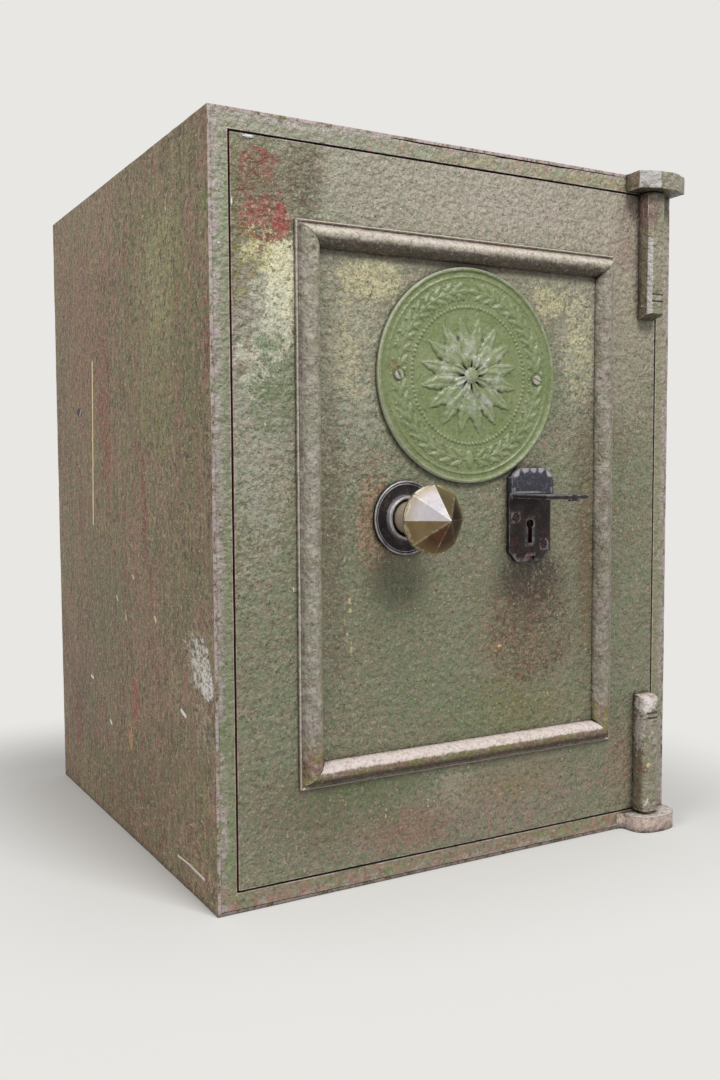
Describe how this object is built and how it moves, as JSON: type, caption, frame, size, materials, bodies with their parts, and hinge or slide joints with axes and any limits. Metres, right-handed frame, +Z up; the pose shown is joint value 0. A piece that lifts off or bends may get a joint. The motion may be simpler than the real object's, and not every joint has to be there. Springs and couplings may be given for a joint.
{
  "type": "iron strongbox",
  "caption": "Free-standing green painted iron strongbox with a hung door, octagonal brass knob, bolt work, lever lock and drop keyhole cover.",
  "frame": {"origin": "centre of the flat underside of the body", "axes": "+Z up, the door faces -Y, the door is hung on the +X side"},
  "size_m": [0.464, 0.524, 0.61],
  "materials": {
    "green_paint": "worn olive-green paint, pitted, chipped to cream and rust",
    "side_paint": "worn brown-olive paint with vertical streaks and scratches",
    "plate_paint": "cleaner green paint with worn pale edges",
    "inner_paint": "dull stone-coloured paint",
    "black_iron": "blackened iron, rusted in the corners and worn bright on the edges",
    "brass": "tarnished antique brass",
    "bare_steel": "dull filed steel",
    "packing": "dry powdery packing"
  },
  "bodies": {
    "case": {"outer_shell": "side_paint", "back_plate": "side_paint", "back_rim": "bare_steel", "back_screw_1": "bare_steel", "back_screw_2": "bare_steel", "back_screw_3": "bare_steel", "back_screw_4": "bare_steel", "front_frame": "green_paint", "upper_hinge_lug": "green_paint", "lower_hinge_lug": "green_paint", "jamb_frame": "inner_paint", "chamber_lining": "inner_paint", "fire_packing": "packing", "shelf": "inner_paint", "shelf_cleat_left": "bare_steel", "shelf_cleat_right": "bare_steel", "pivot_washer": "brass"},
    "door": {"door_plate": "green_paint", "moulding_top": "green_paint", "moulding_bottom": "green_paint", "moulding_left": "green_paint", "moulding_right": "green_paint", "round_plate": "plate_paint", "round_plate_screw_left": "plate_paint", "round_plate_screw_right": "plate_paint", "handle_rose": "black_iron", "door_case": "inner_paint", "door_case_cover": "inner_paint", "door_packing": "packing", "case_cover_screw_1": "bare_steel", "case_cover_screw_2": "bare_steel", "case_cover_screw_3": "bare_steel", "case_cover_screw_4": "bare_steel", "bar_guide_lower": "bare_steel", "bar_guide_upper": "bare_steel", "hinge_side_dog": "bare_steel", "lock_case": "black_iron", "lock_cap": "brass", "key_pin": "bare_steel", "lever_1": "brass", "lever_2": "brass", "lever_3": "brass", "lever_pivot": "bare_steel", "escutcheon_plate": "black_iron", "escutcheon_screw_left": "black_iron", "escutcheon_screw_right": "black_iron", "cover_pin": "bare_steel", "upper_hinge_post": "green_paint", "lower_hinge_post": "green_paint", "upper_pivot_pin": "bare_steel", "lower_pivot_pin": "bare_steel"},
    "handle": {"knob": "brass", "knob_spindle": "bare_steel", "crank": "bare_steel"},
    "bolt_work": {"bolt_bar": "bare_steel", "bolt_lower": "bare_steel", "bolt_middle": "bare_steel", "bolt_upper": "bare_steel"},
    "lock_tongue": {"lock_bolt": "brass"},
    "flap": {"keyhole_cover": "black_iron"}
  },
  "joints": [
    {"name": "door_hinge", "type": "hinge", "parent": "case", "child": "door", "pos_m": [0.2022, -0.23585, 0.305], "axis": [0, 0, 1], "range_deg": [0, 170]},
    {"name": "knob_turn", "type": "hinge", "parent": "door", "child": "handle", "pos_m": [-0.0625, -0.25, 0.3024], "axis": [0, -1, 0], "range_deg": [0, 60]},
    {"name": "bolt_slide", "type": "slide", "parent": "door", "child": "bolt_work", "axis": [-1, 0, 0], "range_m": [0, 0.02]},
    {"name": "lock_bolt_slide", "type": "slide", "parent": "door", "child": "lock_tongue", "axis": [0, 0, 1], "range_m": [0, 0.008]},
    {"name": "keyhole_cover_hinge", "type": "hinge", "parent": "door", "child": "flap", "pos_m": [0.0644, -0.2343, 0.3183], "axis": [1, 0, 0], "range_deg": [0, 90]}
  ],
  "couplings": [
    {"joint": "bolt_slide", "follows": "knob_turn", "m_per_rad": 0.019099}
  ]
}
